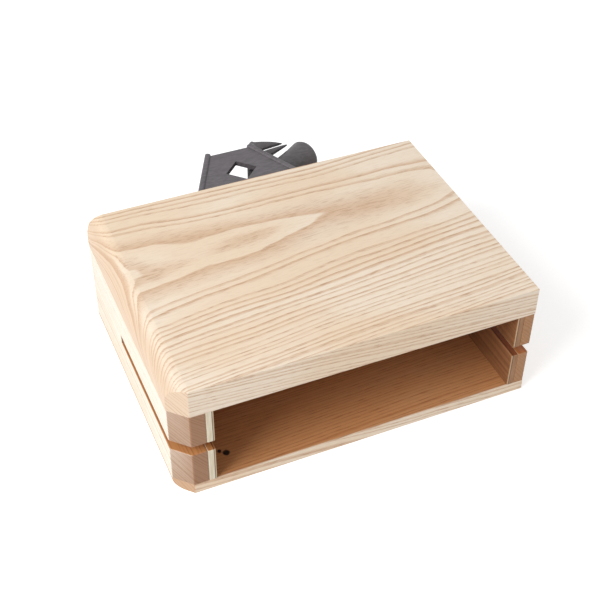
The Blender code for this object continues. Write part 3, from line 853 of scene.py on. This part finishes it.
def web():
    """The root that joins the fingers, a flat bar from inside the hub to the wing's tip."""
    across = np.linspace(WEB_START, WING_SPAN, 24)
    taper = np.sqrt(1 - 0.8 * ((across - WEB_START) / (WING_SPAN - WEB_START)) ** 6)
    low = np.full(24, WING_START - 0.0004)
    high = ROOT_END - (1 - taper) * 0.001
    bar = oval_along(low, high, across, HALF_THICKNESS * taper)
    return bar[..., [2, 1, 0]]


def turned_wing(points, side):
    """A wing on one side of the hub, turned about the screw with the knob."""
    x, y, z = points[..., 0] * side, points[..., 1], points[..., 2]
    cos, sin = math.cos(WING_TURN), math.sin(WING_TURN)
    return np.stack([x * cos - y * sin, x * sin + y * cos, z], axis=-1)


hub = np.array([(BORE_RADIUS, HUB_START), (0.0068, HUB_START), (0.0078, HUB_START + 0.001),
                (0.0082, HUB_START + 0.006), (0.0092, HUB_START + 0.018),
                (HUB_RADIUS, HUB_END - HUB_ROUND),
                (HUB_RADIUS - HUB_ROUND / 3, HUB_END - HUB_ROUND / 3),
                (HUB_RADIUS - HUB_ROUND, HUB_END), (POCKET_RADIUS, HUB_END),
                (POCKET_RADIUS, HUB_END - POCKET_DEPTH), (BORE_RADIUS, HUB_END - POCKET_DEPTH)])
hub_steps = np.concatenate([np.linspace(a, b, 6, endpoint=False)
                            for a, b in zip(hub, np.roll(hub, -1, axis=0))])
shells = [(on_clamp(turned(hub_steps[:, 0], hub_steps[:, 1], 72)), True)]
for side in (-1, 1):
    pieces = (web(), finger(OUTER_TIP, OUTER_ROOT, WING_SPAN, True),
              finger(INNER_TIP, INNER_ROOT_LOW, INNER_ROOT_HIGH, False))
    for shell in pieces:
        shells.append((on_clamp(turned_wing(shell, side)), False))

rough = bpy.data.objects.new("rough_knob", surface_mesh("rough_knob", shells))
scene.collection.objects.link(rough)
fuse = rough.modifiers.new("fuse", "REMESH")
fuse.mode = "VOXEL"
fuse.voxel_size = VOXEL
fuse.use_smooth_shade = True
soften = rough.modifiers.new("soften", "SMOOTH")
soften.factor = 0.5
soften.iterations = 4
bpy.context.view_layer.update()
fused = bpy.data.meshes.new_from_object(
    rough.evaluated_get(bpy.context.evaluated_depsgraph_get()))
bpy.data.objects.remove(rough)
new_piece("wing_knob_moulding", fused, knob_plastic, "knob", "knob_plastic", "wing_knob")
print("the knob has", len(fused.polygons), "faces")

# %% [markdown]
# ## The wood screws
# Four pan head screws hold the bracket.  Each head has a cross recess, which is a
# dent in the head's height wherever a point lies within one of two crossed bars,
# and the shank has a coarse thread that runs out to a point.

# %% Make the wood screws
SCREW_HEAD = 0.0034
HEAD_RISE = 0.0024
SHANK_LENGTH = 0.016
SHANK_RADIUS = 0.0016
COARSE_PITCH = 0.0018
RECESS_REACH = 0.0019
RECESS_HALF_WIDTH = 0.00045
RECESS_DEPTH = 0.0013
POINT_LENGTH = 0.0035
ROOT_SHARE = 0.72
SCREW_COLUMNS = 72


def wood_screw():
    """A screw that stands on its point: the head above zero, the shank below."""
    angle = np.linspace(0, math.tau, SCREW_COLUMNS, endpoint=False)
    spread = np.linspace(0, 1, 26)
    radius = SCREW_HEAD * np.sin(spread * math.pi / 2)
    dome = HEAD_RISE * (0.35 + 0.65 * np.sqrt(1 - (radius / SCREW_HEAD) ** 2.6))
    x = radius[:, None] * np.cos(angle)
    y = radius[:, None] * np.sin(angle)
    in_bar = np.minimum(np.abs(x), np.abs(y)) < RECESS_HALF_WIDTH
    in_reach = np.maximum(np.abs(x), np.abs(y)) < RECESS_REACH
    cut = RECESS_DEPTH * (1 - 0.5 * radius[:, None] / RECESS_REACH)
    top = dome[:, None] - np.where(in_bar & in_reach, cut, 0)
    edge = np.full((1, SCREW_COLUMNS), SCREW_HEAD)
    neck = np.full((1, SCREW_COLUMNS), SHANK_RADIUS * 0.8)
    down = np.linspace(0, -SHANK_LENGTH, 120)[:, None]
    wave = np.mod(down / COARSE_PITCH - angle / math.tau, 1)
    crest = (1 - np.abs(2 * wave - 1)) ** 3
    body = SHANK_RADIUS * (ROOT_SHARE + (1 - ROOT_SHARE) * crest)
    body = body * np.clip((down + SHANK_LENGTH) / POINT_LENGTH, 0, 1)
    level = np.zeros((1, SCREW_COLUMNS))
    radii = np.concatenate([np.repeat(radius[:, None], SCREW_COLUMNS, axis=1), edge, neck, body])
    heights = np.concatenate([top, level, level, np.repeat(down, SCREW_COLUMNS, axis=1)])
    return turned(radii, heights, SCREW_COLUMNS)


screw_grid = wood_screw()
turned_back = screw_grid[..., [0, 2, 1]] * (1, 1, -1)
for number in range(1, 5):
    node = f"bracket_screw_{number}"
    low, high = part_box(node)
    seat = np.array(((low.x + high.x) / 2, high.y - HEAD_RISE, (low.z + high.z) / 2))
    new_piece(node + "_turned", surface_mesh(node, [(turned_back + seat, False)]), steel,
              "block", "steel", node)
print("four screws sit at y =", round(float(seat[1]), 4))

# %% [markdown]
# ## Floor and light
# The photograph stands on a pure white ground.  The floor takes a plain light
# grey, and camera rays add a little glow to it, so it reads white but still keeps
# the block's soft shadow.  The light is a soft lamp on the left, where the palest
# face is, and an even white room.

# %% Make the floor and the light
FLOOR_SIZE = 6.0
FLOOR_DROP = 0.0002
ROOM_LIGHT = 0.55
KEY_WATTS = 17.0
KEY_PLACE = (-1.10, -0.35, 0.95)
KEY_SIZE = 0.8
FLOOR_GLOW = 0.5
FLOOR_GREY = (0.82, 0.82, 0.82, 1)
WHITE = (1, 1, 1, 1)

floor_mesh = bpy.data.meshes.new("floor")
half = FLOOR_SIZE / 2
floor_mesh.from_pydata([(-half, -half, -FLOOR_DROP), (half, -half, -FLOOR_DROP),
                        (half, half, -FLOOR_DROP), (-half, half, -FLOOR_DROP)],
                       [], [(0, 1, 2, 3)])
floor = bpy.data.objects.new("floor", floor_mesh)
scene.collection.objects.link(floor)
white, tree, shader = new_material("white_floor", Roughness=0.9)
shader.inputs["Base Color"].default_value = FLOOR_GREY
shader.inputs["Specular IOR Level"].default_value = 0.0
shader.inputs["Emission Color"].default_value = WHITE
rays = tree.nodes.new("ShaderNodeLightPath")
seen = maths(tree, "MAXIMUM", rays.outputs["Is Camera Ray"], rays.outputs["Is Glossy Ray"])
feed(tree, shader.inputs["Emission Strength"], maths(tree, "MULTIPLY", seen, FLOOR_GLOW))
floor_mesh.materials.append(white)

room = bpy.data.worlds.new("white_room")
room.use_nodes = True
scene.world = room
tree = room.node_tree
backdrop = tree.nodes["Background"]
rays = tree.nodes.new("ShaderNodeLightPath")
seen = maths(tree, "MAXIMUM", rays.outputs["Is Camera Ray"],
             maths(tree, "MAXIMUM", rays.outputs["Is Glossy Ray"],
                   rays.outputs["Is Transmission Ray"]))
feed(tree, backdrop.inputs["Strength"],
     maths(tree, "MULTIPLY_ADD", seen, 1.0 - ROOM_LIGHT, ROOM_LIGHT))
backdrop.inputs["Color"].default_value = WHITE

lamp = bpy.data.lights.new("key_lamp", "AREA")
lamp.energy = KEY_WATTS
lamp.size = KEY_SIZE
key = bpy.data.objects.new("key_lamp", lamp)
key.location = KEY_PLACE
key.rotation_euler = (-Vector(KEY_PLACE)).to_track_quat("-Z", "Y").to_euler()
scene.collection.objects.link(key)
print("the key lamp stands", round(Vector(KEY_PLACE).length, 2), "m away")
